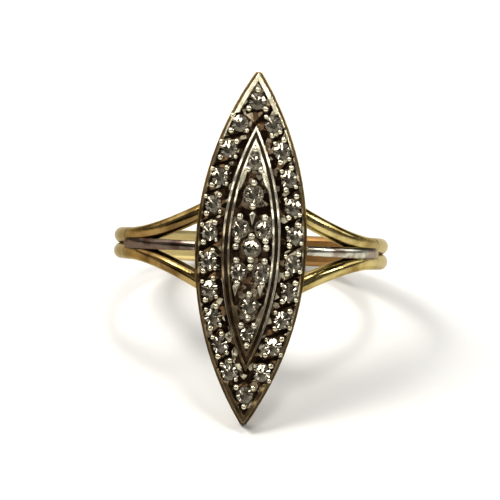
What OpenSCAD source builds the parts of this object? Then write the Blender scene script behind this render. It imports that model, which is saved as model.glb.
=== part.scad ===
// Navette ring: a long pointed plaque of small single-cut stones on a twin-wire split shank.
// The ring is modelled upright, finger axis along Y and face towards +Z, and is then laid
// down so that it leans on the lower tip of the plaque and on the back of the shank.
// All sizes are in millimetres.

/* [Finger hole] */
// Inner diameter of the shank
finger_d = 17.4; // [15:0.1:21]

/* [Shank] */
// Diameter of each of the two shank wires
wire_d = 1.16; // [0.9:0.02:1.4]
// How deep the two wires run into each other where they are soldered side by side
wire_seam = 0.06; // [0.03:0.01:0.1]
// How much of each wire is worn flat on the finger side
wire_flat = 0.05; // [0.03:0.01:0.08]
// Width of the flat liner between the two wires on the finger side
liner_w = 1.5; // [1.2:0.1:1.8]
// Thickness of that liner
liner_t = 0.52; // [0.4:0.02:0.6]
// Angle from the top of the ring at which the liner ends
liner_angle = 50; // [46:1:56]
// Angle from the top of the ring at which each wire starts to bend away
fork_angle = 66; // [65:1:69]
// Radius of the bend of each fork
fork_bend_r = 8; // [7.4:0.1:8.4]
// Tilt of the plane of that bend, out of the plane of the hoop
fork_tilt = 34.5; // [32:0.5:37]

/* [Shoulder bars] */
// Width of each bar where it lies between the wires
bar_w = 0.86; // [0.7:0.02:1]
// Width of each bar where it meets the plaque
bar_w_head = 0.6; // [0.5:0.02:0.7]
// Diameter of the rounded top of each bar
bar_d = 1.0; // [0.9:0.05:1.2]
// Height of each bar above the crest of the wires
bar_proud = 0.12; // [0.06:0.02:0.2]
// Thickness of each bar
bar_t = 0.8; // [0.7:0.05:0.9]
// Angle from the top of the ring at which each bar ends
bar_angle = 64; // [60:1:70]

/* [Plaque outline] */
// Length of the plaque, tip to tip
head_l = 24; // [22:0.5:27]
// Width of the plaque at its middle
head_w = 7.6; // [7.2:0.1:8.4]
// How far the side curves would run on past each blunt tip
tip_cut = 0.3; // [0.2:0.05:0.6]
// Height of the yellow rail under the setting
rail_h = 0.5; // [0.4:0.05:0.8]
// Width of the rail seen from below
rail_w = 0.75; // [0.6:0.05:1]
// Height of the rail above the finger hole
rail_rise = 0.05; // [0.02:0.01:0.2]
// How far the setting lies inside the edge of the rail
rail_ledge = 0.06; // [0.04:0.01:0.1]

/* [Setting] */
// Thickness of the setting at its edge
setting_h = 0.9; // [0.85:0.05:1.2]
// How much the side wall of the setting leans in
setting_draft = 0.18; // [0.1:0.02:0.2]
// Width of the thin rim outside the stones
edge_w = 0.09; // [0.06:0.01:0.12]
// Width of the polished strips along the two tips
strip_w = 0.28; // [0.2:0.02:0.4]
// Depth of the field in which the stones lie
field_depth = 0.08; // [0.05:0.01:0.1]
// Width of the cuts between the stones of the border
cut_w = 0.26; // [0.16:0.02:0.28]
// Length of those cuts
cut_l = 1.8; // [1.4:0.1:2]
// Direction of those cuts
cut_angle = 35; // [25:1:45]

/* [Border stones] */
// Diameter of the border stones
border_stone_d = 1.2; // [1.1:0.02:1.22]
// Distance from the edge of the setting to the middle of the border stones
border_inset = 0.84; // [0.82:0.01:0.9]
// Length of each run of border stones, as a share of the way from the middle to the tip stone
border_run = 0.871; // [0.84:0.001:0.88]
// Distance from each tip of the plaque to the middle of its tip stone
tip_stone_inset = 2.03; // [1.9:0.01:2.2]

/* [Centre plaque] */
// Length of the raised centre plaque, as a share of the whole plaque's
centre_length_share = 0.692; // [0.67:0.002:0.7]
// Width of the raised centre plaque, as a share of the whole plaque's
centre_width_share = 0.518; // [0.5:0.002:0.53]
// Height of the centre plaque above the setting
centre_rise = 0.22; // [0.1:0.02:0.4]
// Width of the outer rim of the centre plaque
centre_rim_w = 0.15; // [0.1:0.01:0.2]
// Width of the groove inside that rim
groove_w = 0.22; // [0.14:0.02:0.24]
// Depth of that groove
groove_depth = 0.22; // [0.16:0.02:0.4]
// Width of the inner rim
inner_rim_w = 0.16; // [0.1:0.01:0.2]
// Depth of the carved field inside the inner rim
centre_field_depth = 0.14; // [0.1:0.01:0.2]
// Diameter of the stones of the centre plaque
centre_stone_d = 1.25; // [1.1:0.01:1.26]

/* [Stones and grains] */
// Gap between a stone and its seat
stone_gap = 0.015; // [0.01:0.005:0.02]
// Diameter of the grains that hold the stones
grain_d = 0.44; // [0.3:0.02:0.46]
// Diameter of the small grains beside them
small_grain_d = 0.34; // [0.24:0.02:0.36]
// Gap between parts that are joined cold or in different metals
part_gap = 0.02; // [0.01:0.005:0.04]

/* [Hidden] */
SIDE_STONES = 5;    // border stones in each quarter of the plaque
BORDER_STONES = 4 * SIDE_STONES + 2;
// Stones of the centre plaque, in shares of its half width and half length, and of their diameter
//   [across, along, diameter]
CENTRE_STONES = [
    [0, 0.714, 0.92],
    [0, 0.437, 1],
    [-0.43, 0.157, 1],
    [0.43, 0.157, 1],
    [0, 0, 1],
    [-0.43, -0.198, 1],
    [0.43, -0.198, 1],
    [0, -0.474, 1],
    [0, -0.702, 0.92],
];
// Grains of the centre plaque: the stone that each belongs to, its bearing from that stone,
// and its distance as a share of the usual one
//   [stone, bearing, distance]
CENTRE_GRAINS = [
    [0, 90, 1.05], [0, 232, 1], [0, 308, 1],
    [1, 90, 1], [1, 270, 1],
    [2, 90, 1], [2, 262, 1],
    [3, 90, 1], [3, 278, 1],
    [4, 90, 1], [4, 270, 1], [4, 176, 1.3], [4, 4, 1.3], [4, 270, 1.62],
    [5, 98, 1], [5, 270, 1],
    [6, 82, 1], [6, 270, 1],
    [7, 90, 1], [7, 270, 1],
    [8, 128, 1], [8, 52, 1], [8, 270, 1.05],
];
// Pointed ridges between the centre stones, in shares of the half width and half length
//   [across, along, length]
RIDGES = [
    [0, 0.31, 0.16],
    [-0.48, -0.283, 0.15],
    [0.38, -0.28, 0.148],
];
RIDGE_W = 0.54;      // width of a pointed ridge
RIDGE_H = 0.2;       // height of its crest above the field
LEAF_L = 1.9;        // length of each carved leaf beside the long row
LEAF_W = 0.36;       // width of each carved leaf
LEAF_LEAN = 24;      // its lean away from the long axis
LEAF_ACROSS = 0.44;  // its place, in shares of the half width
LEAF_ALONG = 0.54;   // and of the half length
COLLET_W = 0.07;     // width of the raised ring round each centre stone
COLLET_H = 0.06;     // height of that ring above the field

JOINT_PROUD = 0.015; // how far the solder of each fork's joint stands out of the wire
JOINT_GAP = 0.25;    // angle between the joint's middle and each wire end inside it
BAR_HEEL = 3;        // how far the underside of each bar runs on past its top, in degrees
FIELD_STOP = 0.7;    // the wide field stops this many stones short of each tip stone's middle
GRAIN_OUT = 0.38;    // from a stone's edge to the middle of its grain, in grain diameters
SMALL_GRAIN_OUT = 0.3;
GRAIN_BEARING = 65;  // bearing of the grains of the border, from the line across the plaque
SMALL_GRAIN_BEARING = -45;
TIP_GRAINS = [90, 222, 318];   // bearings of the grains round each tip stone
RIDGE_SHOULDER = 0.22;         // where a ridge is widest, as a share of its length

// Cut of every stone, in shares of its diameter
TABLE = 0.55;
CROWN = 0.15;
GIRDLE = 0.03;
PAVILION = 0.43;
STONE_SINK = 0.02;   // how far a girdle lies below the metal round it, in mm
AZURE = 0.62;        // opening behind each stone, as a share of its diameter
AZURE_FLARE = 0.1;   // how much wider that opening is at the back, in mm

FAR = 60;            // longer than any part
SMOOTH = 96;         // segments of round parts
BIG = 360;           // segments of the long side curves
SMALL = 24;          // segments of grains
CUT_HAIR = 0.01;     // overshoot of a cut through a face

finger_r = finger_d / 2;
wire_r = wire_d / 2;
wire_y = wire_r - wire_seam / 2;
wire_ring_r = finger_r + wire_r - wire_flat;

// Heights up the ring, from its middle
rail_z = finger_r + rail_rise;
setting_z = rail_z + rail_h + part_gap;
edge_z = setting_z + setting_h;
field_z = edge_z - field_depth;
centre_z = edge_z + centre_rise;
centre_field_z = centre_z - centre_field_depth;

// The two long sides are arcs of one circle each, whose middles lie this far to either side
head_reach = head_l / 2;
function arc_offset(half_l, half_w) = (half_l * half_l - half_w * half_w) / (2 * half_w);
head_offset = arc_offset(head_reach + tip_cut, head_w / 2);
centre_l = centre_length_share * head_l;
centre_w = centre_width_share * head_w;
centre_offset = arc_offset(centre_l / 2, centre_w / 2);
setting_half_w = head_w / 2 - rail_ledge;
setting_reach = head_reach - rail_ledge;
setting_top_half_w = setting_half_w - setting_draft;
setting_top_reach = setting_reach - setting_draft / 2;

// Fork: the bend is a flat arc that leaves the hoop along its tangent. It turns until it
// lies under the middle of the rail.
function bend_across(turn) = fork_bend_r * sin(turn);
function bend_down(turn) = fork_bend_r * cos(fork_tilt) * (1 - cos(turn));
function bend_out(turn) = wire_y + fork_bend_r * sin(fork_tilt) * (1 - cos(turn));
function fork_x(turn) =
    (wire_ring_r - bend_down(turn)) * sin(fork_angle) - bend_across(turn) * cos(fork_angle);
function rail_x(y) =
    sqrt(pow(head_offset + head_w / 2 - rail_w / 2, 2) - y * y) - head_offset;
function turn_to_rail(low, high, tries) =
    tries == 0 ? low
    : let (mid = (low + high) / 2)
      fork_x(mid) > rail_x(bend_out(mid)) ? turn_to_rail(mid, high, tries - 1)
      : turn_to_rail(low, mid, tries - 1);
fork_turn = turn_to_rail(20, 80, 24);

// Border stones: each lies at equal steps along an arc beside the edge of the setting
tip_y = head_reach - tip_stone_inset;
border_pitch = border_run * tip_y / (SIDE_STONES - 0.5);
border_r = head_offset + setting_half_w - border_inset;
function border_turn(step) = step * border_pitch / border_r * 180 / PI;
function border_place(side, step) =
    [side * (border_r * cos(border_turn(step)) - head_offset), border_r * sin(border_turn(step))];
function quarter_steps() = [for (k = [0 : SIDE_STONES - 1]) SIDE_STONES - 0.5 - k];
side_steps = concat(quarter_steps(), [for (k = [0 : SIDE_STONES - 1]) -0.5 - k]);
field_reach = tip_y - FIELD_STOP * border_stone_d;
border_places = concat(
    [[0, tip_y]],
    [for (s = side_steps) border_place(1, s)],
    [[0, -tip_y]],
    [for (s = side_steps) border_place(-1, -s)]
);
inner_rim_half_w = centre_w / 2 - centre_rim_w - groove_w;
function centre_share(across, along) = [across * centre_w / 2, along * centre_l / 2];
function centre_place(i) = centre_share(CENTRE_STONES[i][0], CENTRE_STONES[i][1]);
function centre_d(i) = CENTRE_STONES[i][2] * centre_stone_d;
function turned(i) = 37 * i % 45;   // each stone sits at its own turn

// Laid down: the ring leans on the lower edge of the rail's tip and on the lower wire, so its
// face looks up at this angle from the horizontal
lean_rise = rail_z + wire_ring_r;
lean_run = head_reach - wire_y;
lean = atan2(lean_run, lean_rise) - asin(wire_r / norm([lean_rise, lean_run]));
drop = head_reach * cos(lean) - rail_z * sin(lean);
back_y = wire_y * sin(lean) + wire_ring_r * cos(lean) + wire_r;
front_y = -setting_top_reach * sin(lean) - edge_z * cos(lean);

module laid_down() {
    translate([0, -(back_y + front_y) / 2, drop]) rotate([90 - lean, 0, 0]) children();
}

// The outline of the head: two long arcs, cut off at the tips by a circle about the middle
module head_outline(half_w, reach, h, draft = 0) {
    intersection() {
        translate([-head_offset, 0, 0])
            cylinder(r1 = head_offset + half_w, r2 = head_offset + half_w - draft, h = h, $fn = BIG);
        translate([head_offset, 0, 0])
            cylinder(r1 = head_offset + half_w, r2 = head_offset + half_w - draft, h = h, $fn = BIG);
        cylinder(r1 = reach, r2 = reach - draft / 2, h = h, $fn = BIG);
    }
}

// The same two arcs run on to sharp points
module pointed(half_w, offset, h) {
    intersection() {
        translate([-offset, 0, 0]) cylinder(r = offset + half_w, h = h, $fn = BIG);
        translate([offset, 0, 0]) cylinder(r = offset + half_w, h = h, $fn = BIG);
    }
}

// A full ring of round wire about the finger axis, or the part of it between two angles
// measured from the top
module hoop_arc(from_angle, to_angle) {
    rotate([0, from_angle, 0]) rotate([90, 0, 0]) rotate([0, 0, 90])
        mirror([0, 1, 0]) rotate_extrude(angle = to_angle - from_angle, $fn = BIG)
            children();
}

// One shoulder wire, from the hoop to the rail, towards +X and +Y. A ball of solder, hardly
// thicker than the wire, covers the joint.
module fork() {
    rotate([0, fork_angle, 0]) translate([0, wire_y, wire_ring_r]) {
        sphere(r = wire_r + JOINT_PROUD, $fn = SMOOTH);
        rotate([fork_tilt, 0, 0]) translate([0, 0, -fork_bend_r])
            rotate([90, 0, 0]) rotate([0, 0, 90 + JOINT_GAP])
                rotate_extrude(angle = fork_turn - JOINT_GAP, $fn = BIG)
                    translate([fork_bend_r, 0]) circle(r = wire_r, $fn = SMOOTH);
    }
}

module finger_hole() {
    rotate([90, 0, 0]) cylinder(r = finger_r, h = FAR, center = true, $fn = BIG);
}

module twin_wires() {
    hoop_arc(fork_angle + JOINT_GAP, 360 - fork_angle - JOINT_GAP)
        for (side = [-1, 1])
            translate([wire_ring_r, side * wire_y]) circle(r = wire_r, $fn = SMOOTH);
}

module liner() {
    hoop_arc(liner_angle, 360 - liner_angle)
        translate([finger_r - wire_flat, -liner_w / 2])
            square([liner_t, liner_w]);
}

module rail() {
    translate([0, 0, rail_z]) difference() {
        head_outline(head_w / 2, head_reach, rail_h);
        translate([0, 0, -CUT_HAIR])
            pointed(head_w / 2 - rail_w, head_offset, rail_h + 2 * CUT_HAIR);
    }
}

// Shoulder bar towards +X. It grows by the same amount all round when it is taken out of
// the wires that it lies in.
module bar(grow = 0) {
    ring_r = wire_ring_r + wire_r + bar_proud - bar_d / 2;
    end_x = (ring_r + bar_d / 2) * sin(bar_angle) - bar_w / 2;
    start_x = head_w / 2 - rail_w;   // under the plaque, where its outline cuts the bar off
    difference() {
        intersection() {
            rotate([90, 0, 0]) rotate_extrude($fn = BIG)
                translate([ring_r, 0]) circle(d = bar_d + 2 * grow, $fn = SMOOTH);
            linear_extrude(height = FAR / 2) union() {
                polygon([
                    [start_x, -bar_w_head / 2 - grow],
                    [end_x, -bar_w / 2 - grow],
                    [end_x, bar_w / 2 + grow],
                    [start_x, bar_w_head / 2 + grow],
                ]);
                translate([end_x, 0]) circle(d = bar_w + 2 * grow, $fn = SMOOTH);
            }
        }
        rotate([90, 0, 0])
            cylinder(r = ring_r + bar_d / 2 - bar_t - grow, h = FAR, center = true, $fn = BIG);
        rotate([0, bar_angle + BAR_HEEL, 0])
            translate([grow, -FAR / 2, -FAR / 2]) cube(FAR);
        head_outline(head_w / 2 + part_gap - grow, FAR, FAR);
    }
}

module shank() {
    color("gold") laid_down() difference() {
        union() {
            twin_wires();
            liner();
            for (x = [0, 1], y = [0, 1]) mirror([x, 0, 0]) mirror([0, y, 0]) fork();
            rail();
        }
        finger_hole();
        for (x = [0, 1]) mirror([x, 0, 0]) bar(part_gap);
        translate([-FAR / 2, -FAR / 2, rail_z + rail_h]) cube(FAR);
    }
}

module shoulder_bar_left() {
    color("gainsboro") laid_down() mirror([1, 0, 0]) bar();
}

module shoulder_bar_right() {
    color("gainsboro") laid_down() bar();
}

// A stone with a table, eight main facets and eight narrow ones above the girdle, and the
// same below it down to a point. Its girdle's lower edge is at z = 0.
module stone(d) {
    r = d / 2;
    girdle_h = GIRDLE * d;
    table_z = girdle_h + CROWN * d;
    half_facet = 15;   // half the angle that each main facet takes at the girdle
    table = [for (k = [0 : 7]) [TABLE * r * cos(45 * k), TABLE * r * sin(45 * k), table_z]];
    function rim(z) = [
        for (k = [0 : 7], side = [-1, 1])
            let (a = 45 * k + 22.5 + side * half_facet) [r * cos(a), r * sin(a), z]
    ];
    points = concat(table, rim(girdle_h), rim(0), [[0, 0, -PAVILION * d]]);
    upper = 8;
    lower = 24;
    tip = 40;
    polyhedron(
        points = points,
        faces = concat(
            [[for (k = [0 : 7]) 7 - k]],
            [for (k = [0 : 7]) let (n = (k + 1) % 8) [k, n, upper + 2 * k + 1, upper + 2 * k]],
            [for (k = [0 : 7]) let (p = (k + 7) % 8) [k, upper + 2 * k, upper + 2 * p + 1]],
            [for (k = [0 : 15]) let (n = (k + 1) % 16) [upper + k, upper + n, lower + n, lower + k]],
            [for (k = [0 : 15]) let (n = (k + 1) % 16) [lower + k, lower + n, tip]]
        )
    );
}

// The room that a stone of diameter d needs in its metal, and the opening behind it
module seat(d, depth) {
    r = d / 2 + stone_gap;
    azure_r = AZURE * d / 2;
    girdle_h = GIRDLE * d;
    cone_h = PAVILION * d * (1 - AZURE);
    union() {
        translate([0, 0, girdle_h])
            cylinder(r1 = r, r2 = TABLE * r, h = CROWN * d, $fn = SMOOTH);
        translate([0, 0, girdle_h + CROWN * d - CUT_HAIR])
            cylinder(r = TABLE * r, h = grain_d, $fn = SMOOTH);
        translate([0, 0, -CUT_HAIR])
            cylinder(r = r, h = girdle_h + STONE_SINK + CUT_HAIR, $fn = SMOOTH);
        translate([0, 0, -cone_h - stone_gap])
            cylinder(r1 = azure_r, r2 = r, h = cone_h + stone_gap, $fn = SMOOTH);
        translate([0, 0, -depth])
            cylinder(r1 = azure_r + AZURE_FLARE, r2 = azure_r, h = depth - cone_h, $fn = SMOOTH);
    }
}

// Where the lower edge of a girdle lies, at a place in a metal surface at height z
module sunk(place, z, d) {
    translate([place[0], place[1], z - STONE_SINK - GIRDLE * d]) children();
}

module grain(d) {
    sphere(d = d, $fn = SMALL);
}

// The middle of the space between two neighbouring border stones, and the way they run
module between(side, step) {
    at = border_place(side, step);
    translate([at[0], at[1], field_z]) rotate([0, 0, side * border_turn(step)]) children();
}

module diagonal_cut() {
    edge = cut_w / sqrt(2);
    rotate([0, 0, cut_angle]) rotate([45, 0, 0]) cube([cut_l, edge, edge], center = true);
}

module setting_plate() {
    difference() {
        translate([0, 0, setting_z])
            head_outline(setting_half_w, setting_reach, setting_h, setting_draft);
        // The field is wide beside the stones, and narrower between the strips of the tips
        translate([0, 0, field_z]) intersection() {
            pointed(setting_top_half_w - edge_w, head_offset, FAR);
            translate([-FAR / 2, -field_reach, 0]) cube([FAR, 2 * field_reach, FAR]);
        }
        translate([0, 0, field_z]) pointed(setting_top_half_w - strip_w, head_offset, FAR);
        translate([0, 0, setting_z - CUT_HAIR])
            pointed(centre_w / 2 + part_gap, centre_offset, FAR);
        for (side = [-1, 1], k = [1 : 2 * SIDE_STONES - 1])
            between(side, k - SIDE_STONES) diagonal_cut();
    }
}

// Grains stand on the line from one stone to the next, turned to either side of it
module border_grains() {
    reach = border_stone_d / 2 + GRAIN_OUT * grain_d;
    across = reach * cos(GRAIN_BEARING);
    along = border_pitch / 2 - reach * sin(GRAIN_BEARING);
    for (side = [-1, 1], k = [1 : 2 * SIDE_STONES - 1], way = [-1, 1])
        between(side, k - SIDE_STONES)
            translate([way * across, -way * along, 0]) grain(grain_d);
    small_reach = border_stone_d / 2 + SMALL_GRAIN_OUT * small_grain_d;
    for (place = border_places, way = [-1, 1])
        if (abs(place[0]) > border_stone_d / 4)
            translate([place[0], place[1], field_z]) rotate([0, 0, SMALL_GRAIN_BEARING])
                translate([way * small_reach, 0, 0]) grain(small_grain_d);
    for (end = [-1, 1], bearing = TIP_GRAINS)
        translate([reach * cos(bearing), end * (tip_y + reach * sin(bearing)), field_z])
            grain(grain_d);
}

module setting() {
    color("dimgray") laid_down() difference() {
        union() {
            setting_plate();
            border_grains();
        }
        for (place = border_places)
            sunk(place, field_z, border_stone_d) seat(border_stone_d, field_z - setting_z);
    }
}

module ridge(length) {
    w = RIDGE_W / 2;
    foot = centre_field_depth;
    shoulder = length * RIDGE_SHOULDER;
    polyhedron(
        points = [
            [0, 0, -foot], [w, -shoulder, -foot], [0, -length, -foot], [-w, -shoulder, -foot],
            [0, 0, 0], [w, -shoulder, 0], [0, -length, 0], [-w, -shoulder, 0],
            [0, -shoulder, RIDGE_H],
        ],
        faces = [
            [0, 1, 2, 3], [4, 5, 1, 0], [5, 6, 2, 1], [6, 7, 3, 2], [7, 4, 0, 3],
            [4, 8, 5], [5, 8, 6], [6, 8, 7], [7, 8, 4],
        ]
    );
}

module leaf(h) {
    offset = arc_offset(LEAF_L / 2, LEAF_W / 2);
    pointed(LEAF_W / 2, offset, h);
}

module centre_plate() {
    difference() {
        translate([0, 0, setting_z]) pointed(centre_w / 2, centre_offset, centre_z - setting_z);
        translate([0, 0, centre_z - groove_depth]) difference() {
            pointed(centre_w / 2 - centre_rim_w, centre_offset, FAR);
            translate([0, 0, -CUT_HAIR]) pointed(inner_rim_half_w, centre_offset, 2 * FAR);
        }
        translate([0, 0, centre_field_z])
            pointed(inner_rim_half_w - inner_rim_w, centre_offset, FAR);
    }
}

module centre_relief() {
    for (g = CENTRE_GRAINS) {
        at = centre_place(g[0]);
        far = g[2] * (centre_d(g[0]) / 2 + GRAIN_OUT * grain_d);
        translate([at[0] + far * cos(g[1]), at[1] + far * sin(g[1]), centre_field_z])
            grain(grain_d);
    }
    for (k = RIDGES)
        translate(centre_share(k[0], k[1])) translate([0, 0, centre_field_z + CUT_HAIR])
            ridge(k[2] * centre_l / 2);
    for (x = [-1, 1], y = [-1, 1])
        translate(centre_share(x * LEAF_ACROSS, y * LEAF_ALONG))
            translate([0, 0, centre_field_z - CUT_HAIR])
                rotate([0, 0, x * y * LEAF_LEAN]) leaf(centre_field_depth);
    for (i = [0 : len(CENTRE_STONES) - 1])
        translate(centre_place(i)) translate([0, 0, centre_field_z - CUT_HAIR])
            cylinder(r = centre_d(i) / 2 + COLLET_W, h = COLLET_H + CUT_HAIR, $fn = SMOOTH);
}

module centre_plaque() {
    color("gray") laid_down() difference() {
        union() {
            centre_plate();
            intersection() {
                centre_relief();
                translate([0, 0, setting_z])
                    pointed(inner_rim_half_w, centre_offset, FAR);
            }
        }
        for (i = [0 : len(CENTRE_STONES) - 1])
            sunk(centre_place(i), centre_field_z, centre_d(i))
                seat(centre_d(i), centre_field_z - setting_z);
    }
}

module border_stone(i) {
    color("whitesmoke") laid_down()
        sunk(border_places[i], field_z, border_stone_d)
            rotate([0, 0, turned(i)]) stone(border_stone_d);
}

module centre_stone(i) {
    color("whitesmoke") laid_down()
        sunk(centre_place(i), centre_field_z, centre_d(i))
            rotate([0, 0, turned(i)]) stone(centre_d(i));
}

shank();
shoulder_bar_left();
shoulder_bar_right();
setting();
centre_plaque();
for (i = [1 : BORDER_STONES])
    border_stone(i - 1);
for (i = [1 : len(CENTRE_STONES)])
    centre_stone(i - 1);
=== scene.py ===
# Looks for the navette ring: metals, stones, floor, light and camera.
import math

import bpy
from mathutils import Matrix, Vector

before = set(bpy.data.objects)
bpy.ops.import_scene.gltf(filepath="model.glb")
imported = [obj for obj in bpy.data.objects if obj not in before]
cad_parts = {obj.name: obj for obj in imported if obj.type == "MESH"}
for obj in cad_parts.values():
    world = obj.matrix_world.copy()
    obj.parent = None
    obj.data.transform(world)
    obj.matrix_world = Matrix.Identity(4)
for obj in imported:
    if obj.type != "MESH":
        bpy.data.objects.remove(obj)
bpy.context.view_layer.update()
scene = bpy.context.scene

MM = 0.001
LEAN = math.radians(30.9306)             # how far the face of the ring looks up
RING_MIDDLE = Vector((0.0, 3.01726, 5.796)) * MM
ACROSS = Vector((1.0, 0.0, 0.0))
FINGER_AXIS = Vector((0.0, math.sin(LEAN), math.cos(LEAN)))
FACE = Vector((0.0, -math.cos(LEAN), math.sin(LEAN)))

# Heights above the ring's middle, in mm: the field and the rim of the border and of the centre
FIELD_Z, EDGE_Z = 10.09, 10.17
CENTRE_FIELD_Z, CENTRE_Z = 10.25, 10.39

CREVICE_SAMPLES = 8
EDGE_SAMPLES = 6


class Shader:
    """One node material, whose textures are laid out in the upright ring's millimetres."""

    def __init__(self, name):
        self.material = bpy.data.materials.new(name)
        self.material.use_nodes = True
        self.tree = self.material.node_tree
        self.surface = self.tree.nodes["Principled BSDF"]
        self._place()

    def node(self, kind, settings=None, **sockets):
        made = self.tree.nodes.new(kind)
        for key, value in (settings or {}).items():
            setattr(made, key, value)
        for key, value in sockets.items():
            self.put(made, key.replace("_", " "), value)
        return made

    def put(self, node, name, value):
        socket = node.inputs[int(name)] if name.isdigit() else node.inputs[name]
        if isinstance(value, bpy.types.NodeSocket):
            self.tree.links.new(value, socket)
        else:
            socket.default_value = value

    def math(self, operation, a, b=0.0, clamp=False):
        made = self.node("ShaderNodeMath", {"operation": operation, "use_clamp": clamp})
        self.put(made, "0", a)
        self.put(made, "1", b)
        return made.outputs[0]

    def times(self, a, b, clamp=False):
        return self.math("MULTIPLY", a, b, clamp)

    def plus(self, a, b):
        return self.math("ADD", a, b)

    def minus(self, a, b, clamp=False):
        return self.math("SUBTRACT", a, b, clamp)

    def larger(self, a, b):
        return self.math("MAXIMUM", a, b)

    def absolute(self, a):
        return self.math("ABSOLUTE", a)

    def vector(self, operation, a, b, output=0):
        made = self.node("ShaderNodeVectorMath", {"operation": operation})
        self.put(made, "0", a)
        self.put(made, "1", b)
        return made.outputs[output]

    def _place(self):
        where = self.node("ShaderNodeTexCoord").outputs["Object"]
        away = self.vector("SUBTRACT", where, RING_MIDDLE)
        self.across, self.along, self.height = [
            self.vector("DOT_PRODUCT", away, axis / MM, "Value")
            for axis in (ACROSS, FINGER_AXIS, FACE)
        ]
        joined = self.node("ShaderNodeCombineXYZ", X=self.across, Y=self.along, Z=self.height)
        self.at = joined.outputs[0]

    def noise(self, scale, detail=4.0, roughness=0.6, vector=None):
        made = self.node("ShaderNodeTexNoise", Vector=vector or self.at, Scale=scale,
                         Detail=detail, Roughness=roughness)
        return made.outputs["Fac"]

    def ramp(self, value, low, high, start=0.0, end=1.0):
        """A smooth step from start to end, while the value goes from low to high."""
        made = self.node("ShaderNodeMapRange",
                         {"clamp": True, "interpolation_type": "SMOOTHSTEP"}, Value=value)
        for key, number in (("From Min", low), ("From Max", high),
                            ("To Min", start), ("To Max", end)):
            made.inputs[key].default_value = number
        return made.outputs[0]

    def fall(self, value, low, high):
        return self.ramp(value, low, high, 1.0, 0.0)

    def mix(self, share, a, b):
        made = self.node("ShaderNodeMix", {"data_type": "RGBA"})
        self.put(made, "0", share)
        self.put(made, "6", colour(a))
        self.put(made, "7", colour(b))
        return made.outputs[2]

    def chips(self, scale, tilt):
        """Flat facets that each lean their own way: their relief and one random value each."""
        cut = self.node("ShaderNodeTexVoronoi", Vector=self.at, Scale=scale, Randomness=1.0)
        lean = self.vector("SUBTRACT", cut.outputs["Color"], (0.5, 0.5, 0.5))
        away = self.vector("SUBTRACT", self.at, cut.outputs["Position"])
        relief = self.times(self.vector("DOT_PRODUCT", lean, away, "Value"), tilt)
        apart = self.node("ShaderNodeSeparateColor", Color=cut.outputs["Color"])
        return relief, apart.outputs[0]

    def crevices(self, distance):
        """Open surfaces give 1, and seams no wider than about the distance give less."""
        made = self.node("ShaderNodeAmbientOcclusion", {"samples": CREVICE_SAMPLES},
                         Distance=distance * MM)
        return made.outputs["AO"]

    def bump(self, height, depth, strength, round_edges=0.0):
        made = self.node("ShaderNodeBump", Height=height, Strength=strength, Distance=depth * MM)
        if round_edges:
            edge = self.node("ShaderNodeBevel", {"samples": EDGE_SAMPLES},
                             Radius=round_edges * MM)
            self.put(made, "Normal", edge.outputs[0])
        return made.outputs[0]

    def finish(self, **sockets):
        for name, value in sockets.items():
            self.put(self.surface, name.replace("_", " "), value)
        return self.material


def colour(value):
    return value if isinstance(value, bpy.types.NodeSocket) or len(value) == 4 else (*value, 1.0)


def gold():
    """Yellow gold: browner on the left in painted shade, worn at both ends, its seams grimy and in
    painted shade.
    """
    left, left_cloud = (0.27, 0.155, 0.050), (0.085, 0.040, 0.012)
    right, right_cloud = (0.62, 0.50, 0.20), (0.27, 0.185, 0.06)
    left_end, right_end = (0.16, 0.125, 0.078), (0.46, 0.41, 0.27)
    shaded_inner, inner_lit = (0.34, 0.185, 0.065), (1.0, 0.83, 0.38)
    grime_and_shade_colour = (0.07, 0.030, 0.008)
    inner_r, wire_r = 9.0, 9.3           # where the hoop's inner face ends, in mm
    hair_stretch = (9.0, 1.6, 9.0)

    s = Shader("worn_gold")
    cloud = s.ramp(s.noise(0.55, 3.0), 0.35, 0.68)
    # Painted shade: darker, browner colours on the left side, paler ones on the right
    side = s.ramp(s.across, -9.0, 3.0)
    base = s.mix(side, s.mix(cloud, left, left_cloud), s.mix(cloud, right, right_cloud))
    worn = s.ramp(s.absolute(s.across), 7.8, 9.8)
    base = s.mix(worn, base, s.mix(side, left_end, right_end))

    # The inner face of the hoop's back, in a darker orange-brown as painted shade, with a pale
    # patch of painted light on its left
    section = s.node("ShaderNodeCombineXYZ", X=s.across, Y=s.height).outputs[0]
    from_axis = s.vector("DISTANCE", section, (0.0, 0.0, 0.0), "Value")
    inside = s.times(s.fall(from_axis, inner_r, wire_r), s.fall(s.height, -5.0, -1.0))
    lit = s.times(s.ramp(s.across, -9.0, -6.5), s.fall(s.across, -4.0, -1.0))
    base = s.mix(inside, base, shaded_inner)
    base = s.mix(s.times(inside, lit), base, inner_lit)

    # Grime and painted shade: darker in the seams found by occlusion, less so on the inner face
    seams = s.times(s.fall(s.crevices(0.7), 0.30, 0.92), s.minus(1.0, s.times(inside, 0.7)))
    speck = s.ramp(s.noise(5.0, 5.0), 0.42, 0.7)
    grime_and_shade = s.times(seams, s.plus(0.65, s.times(speck, 0.5)), clamp=True)
    base = s.mix(grime_and_shade, base, grime_and_shade_colour)

    stretched = s.node("ShaderNodeMapping", {"vector_type": "POINT"}, Vector=s.at,
                       Scale=hair_stretch)
    hair = s.noise(1.6, 3.0, 0.7, stretched.outputs[0])
    rough = s.plus(s.times(hair, 0.16), s.times(grime_and_shade, 0.3))
    rough = s.plus(rough, s.times(inside, 0.3))
    rough = s.plus(rough, s.times(worn, 0.12))
    relief = s.plus(s.times(hair, 0.5), s.noise(0.9, 2.0))
    return s.finish(
        Base_Color=base, Metallic=1.0, Roughness=rough, Specular_Tint=(0.80, 0.70, 0.48, 1.0),
        Normal=s.bump(relief, depth=0.06, strength=0.3),
    )


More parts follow.
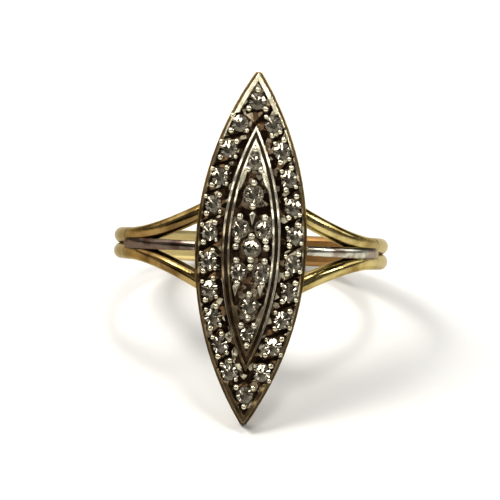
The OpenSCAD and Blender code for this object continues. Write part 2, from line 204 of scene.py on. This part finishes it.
def bar_metal():
    """The white metal of the shoulder bars, dull and dark on the left in painted shade, and pale
    on the right.
    """
    left, left_cloud = (0.13, 0.090, 0.068), (0.055, 0.030, 0.022)
    right, right_cloud = (0.62, 0.61, 0.50), (0.32, 0.26, 0.20)
    grime_and_shade_colour = (0.06, 0.04, 0.03)

    s = Shader("white_bar")
    cloud = s.ramp(s.noise(0.7, 3.0), 0.42, 0.60)
    # Painted shade: darker colours on the left side, paler ones on the right
    side = s.ramp(s.across, -7.0, 5.0)
    base = s.mix(side, s.mix(cloud, left, left_cloud), s.mix(cloud, right, right_cloud))
    # Grime and painted shade: darker in the crevices found by occlusion
    base = s.mix(s.fall(s.crevices(0.35), 0.2, 0.85), base, grime_and_shade_colour)
    hair = s.noise(14.0, 3.0, 0.7)
    return s.finish(
        Base_Color=base, Metallic=1.0, Roughness=s.plus(s.times(hair, 0.14), 0.14),
        Specular_Tint=(0.6, 0.55, 0.5, 1.0),
        Normal=s.bump(s.noise(1.4, 3.0), depth=0.05, strength=0.4, round_edges=0.08),
    )


def tarnished(name, low, high, bright, dull, strips, glitter):
    """White metal, with polish above one height and tarnish below another.

    strips is the ramp of the rims' polish along the plaque, from its middle to both tips, which at
    the tips is a painted highlight too, and glitter is how strongly the bright cuts, which are
    painted glints, and the brown cuts show. Crevices and the lower left end get painted shade,
    and the slopes up to the rim a painted sheen.
    """
    dark, brown, stain_and_shade_colour = (0.010, 0.005, 0.003), (0.29, 0.175, 0.085), (0.014, 0.008, 0.005)
    plain, plain_cloud = (0.13, 0.084, 0.046), (0.045, 0.027, 0.016)
    low_end_shade = (0.19, 0.14, 0.09)         # share of each colour left at the lower left end, which is painted shade

    s = Shader(name)
    fine = s.noise(3.4, 5.0, 0.7)
    chips, chance = s.chips(2.6, 1.6)
    raised = s.ramp(s.height, low, high)
    carved = s.ramp(s.height, low - 0.14, low - 0.04)
    # Patina and painted shade in the crevices found by occlusion; this also takes the polish away
    # there
    crevice_patina_and_shade = s.fall(s.crevices(0.35), 0.40, 0.97)
    above_rim = s.ramp(s.height, high, high + 0.04)
    slope_with_painted_sheen = s.times(s.ramp(s.height, low + 0.03, low + 0.05),
                    s.fall(s.height, high - 0.015, high + 0.005))

    # Painted shade: the lower left end is darker, apart from the grains, which stand above the rim
    end = s.ramp(s.plus(s.along, s.times(s.across, 2.2)), -7.0, 6.0)
    end = s.larger(end, s.ramp(s.height, high + 0.02, high + 0.06, 0.0, 0.65))

    # Polish and painted highlight: the rims get the bright colour towards the tips
    tip = s.larger(s.ramp(s.absolute(s.along), *strips), above_rim)
    bite = s.ramp(fine, 0.36, 0.60, 0.8, 1.15)
    polish_and_highlight = s.times(s.times(raised, tip), bite)
    polish_and_highlight = s.minus(polish_and_highlight, s.times(crevice_patina_and_shade, 0.7), clamp=True)

    worn = s.mix(s.ramp(s.plus(chance, s.times(fine, 0.6)), 0.55, 0.75), dark, dull)
    worn = s.mix(s.ramp(chance, 0.58, 0.64, 0.0, glitter), worn, brown)
    worn = s.mix(carved, s.mix(s.ramp(s.noise(0.7, 4.0), 0.40, 0.62), plain, plain_cloud), worn)
    # Painted glints: single chips in the carved field get the bright polished colour
    painted_glints = s.times(s.ramp(chance, 0.74, 0.78), s.ramp(s.noise(0.8, 3.0), 0.36, 0.56, 0.15, 0.9))
    painted_glints = s.times(painted_glints, s.times(carved, glitter))
    pits = s.times(s.ramp(s.noise(2.4, 4.0, 0.7), 0.40, 0.50, 0.9, 0.0), carved)
    # Tarnish pits, and patina with painted shade in the crevices, darken the metal
    stain_and_shade = s.larger(s.times(crevice_patina_and_shade, 0.85), pits)
    base = s.mix(stain_and_shade, s.mix(painted_glints, worn, bright), stain_and_shade_colour)
    shaded = [part * share for part, share in zip(bright, low_end_shade)]
    base = s.mix(polish_and_highlight, base, s.mix(end, shaded, bright))
    # Painted sheen: the slopes up to the rim mostly take the bright colour, so that they read as
    # lit
    base = s.mix(s.times(slope_with_painted_sheen, 0.8), base, bright)

    rough = s.minus(s.plus(0.22, s.times(fine, 0.16)), s.times(polish_and_highlight, 0.14), clamp=True)
    rough = s.plus(rough, s.times(slope_with_painted_sheen, 0.15))
    field = s.times(s.fall(s.height, low, high), carved)
    relief = s.times(s.plus(chips, s.times(fine, 0.7)), field)
    wave = s.times(s.noise(0.7, 1.0), s.ramp(s.along, 5.0, 8.0, 0.8, 0.25))
    return s.finish(
        Base_Color=base, Metallic=1.0, Roughness=rough, Specular_Tint=(0.5, 0.42, 0.32, 1.0),
        Normal=s.bump(s.plus(relief, wave), depth=0.16, strength=0.9, round_edges=0.07),
    )


def stone():
    s = Shader("cut_stone")
    milk = s.ramp(s.noise(1.3, 3.0), 0.3, 0.75)
    return s.finish(
        Base_Color=s.mix(milk, (0.50, 0.44, 0.33), (0.20, 0.17, 0.12)),
        Roughness=s.ramp(s.noise(6.0, 2.0), 0.5, 0.9, 0.0, 0.04),
        IOR=2.42, Transmission_Weight=1.0, Specular_Tint=(0.48, 0.43, 0.33, 1.0),
    )


def pale_floor():
    s = Shader("pale_floor")
    base = s.mix(s.noise(0.02, 3.0), (0.86, 0.86, 0.85), (0.82, 0.82, 0.815))
    return s.finish(Base_Color=base, Roughness=0.7, Specular_IOR_Level=0.2)


# How the rims' polish changes along the plaque, with a painted highlight at the tips: from and to
# these mm, between these shares
TIPS_ONLY = (6.2, 7.6, 0.12, 1.0)
WHOLE_RIM = (0.0, 1.0, 1.0, 1.0)
looks = {
    "shank": gold(),
    "shoulder_bar": bar_metal(),
    "setting": tarnished(
        "tarnished_setting", FIELD_Z + 0.02, EDGE_Z - 0.01,
        bright=(0.95, 0.88, 0.64), dull=(0.060, 0.032, 0.016), strips=TIPS_ONLY, glitter=1.0,
    ),
    "centre_plaque": tarnished(
        "tarnished_centre", CENTRE_FIELD_Z + 0.03, CENTRE_Z - 0.02,
        bright=(0.97, 0.91, 0.70), dull=(0.050, 0.030, 0.017), strips=WHOLE_RIM, glitter=0.3,
    ),
    "border_stone": stone(),
    "centre_stone": stone(),
}
for name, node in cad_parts.items():
    key = next(k for k in looks if name.startswith(k))
    node.data.materials.clear()
    node.data.materials.append(looks[key])


# Floor and room
bpy.ops.mesh.primitive_grid_add(x_subdivisions=4, y_subdivisions=4, size=6.0)
floor = bpy.context.object
floor.name = "floor"
floor.data.materials.append(pale_floor())

PANES = ((0.50, (0.02, 0.018, 0.015, 1.0)), (0.60, (1.0, 0.97, 0.92, 1.0)))
world = bpy.data.worlds.new("soft_room")
scene.world = world
world.use_nodes = True
sky = world.node_tree
where = sky.nodes.new("ShaderNodeTexCoord")
cloud = sky.nodes.new("ShaderNodeTexNoise")
cloud.inputs["Scale"].default_value = 2.6
cloud.inputs["Detail"].default_value = 1.0
panes = sky.nodes.new("ShaderNodeValToRGB")
for element, (position, tone) in zip(panes.color_ramp.elements, PANES):
    element.position, element.color = position, tone
sky.links.new(where.outputs["Generated"], cloud.inputs["Vector"])
sky.links.new(cloud.outputs["Fac"], panes.inputs["Fac"])
sky.links.new(panes.outputs["Color"], sky.nodes["Background"].inputs["Color"])
sky.nodes["Background"].inputs["Strength"].default_value = 0.35


# Lights, in metres and watts
WHITE = (1.0, 1.0, 1.0)
WARM = (1.0, 0.97, 0.90)
AIM = (0.0, -0.002, 0.008)
LENS_LIGHT_FAR = 0.3                     # from the ring's middle
LENS_LIGHT_SIZE = (0.045, 0.045)


def soft_light(name, place, aim, size, power, tint):
    lamp = bpy.data.lights.new(name, "AREA")
    lamp.shape, lamp.size, lamp.size_y = "RECTANGLE", size[0], size[1]
    lamp.energy, lamp.color = power, tint
    made = bpy.data.objects.new(name, lamp)
    scene.collection.objects.link(made)
    made.location = place
    made.rotation_euler = (Vector(aim) - Vector(place)).to_track_quat("-Z", "Y").to_euler()


for name, place, size, power, tint in (
    ("dome", (-0.20, 0.22, 0.32), (0.62, 0.56), 1.75, WHITE),
    ("key", (-0.22, 0.00, 0.30), (0.11, 0.11), 0.8, WARM),
    ("top", (0.04, 0.00, 0.38), (0.09, 0.06), 0.4, (1.0, 0.98, 0.94)),
    ("right", (0.30, -0.03, 0.22), (0.03, 0.10), 0.25, (1.0, 0.96, 0.90)),
    ("far_right", (0.34, 0.12, 0.16), (0.12, 0.12), 0.12, WHITE),
):
    soft_light(name, place, AIM, size, power, tint)
for name, tilt, turn, power in (("near_lens", 9, 35, 0.034), ("over_lens", 20, -10, 0.06)):
    tilt, turn = math.radians(tilt), math.radians(turn)
    aside = FINGER_AXIS * math.cos(turn) - ACROSS * math.sin(turn)
    way = FACE * math.cos(tilt) + aside * math.sin(tilt)
    soft_light(name, RING_MIDDLE + way * LENS_LIGHT_FAR, RING_MIDDLE, LENS_LIGHT_SIZE, power, WARM)


# Camera, with its lengths in mm
HEAD_HEIGHT = 10.3                       # of the head's face above the ring's middle
CAMERA_FAR = 169.0                       # from the face
PIXEL = 0.0676                           # width of a pixel at the face
ROLL = math.radians(2.6)
IMAGE = 500                              # pixels each way
HEAD_PIXEL = (251.0, 248.25)             # where the middle of the face lies in the image
right = FINGER_AXIS * math.sin(ROLL) + ACROSS * math.cos(ROLL)
up = FINGER_AXIS * math.cos(ROLL) - ACROSS * math.sin(ROLL)
spot = RING_MIDDLE + FACE * (HEAD_HEIGHT + CAMERA_FAR) * MM
spot -= (right * (HEAD_PIXEL[0] - IMAGE / 2) - up * (HEAD_PIXEL[1] - IMAGE / 2)) * PIXEL * MM
lens = bpy.data.cameras.new("camera")
lens.sensor_width = 36.0
lens.lens = lens.sensor_width * CAMERA_FAR / (PIXEL * IMAGE)
lens.clip_start, lens.clip_end = 0.01, 20.0
camera = bpy.data.objects.new("camera", lens)
scene.collection.objects.link(camera)
camera.matrix_world = Matrix.Translation(spot) @ Matrix((right, up, FACE)).transposed().to_4x4()
scene.camera = camera
scene.view_settings.view_transform = "Standard"
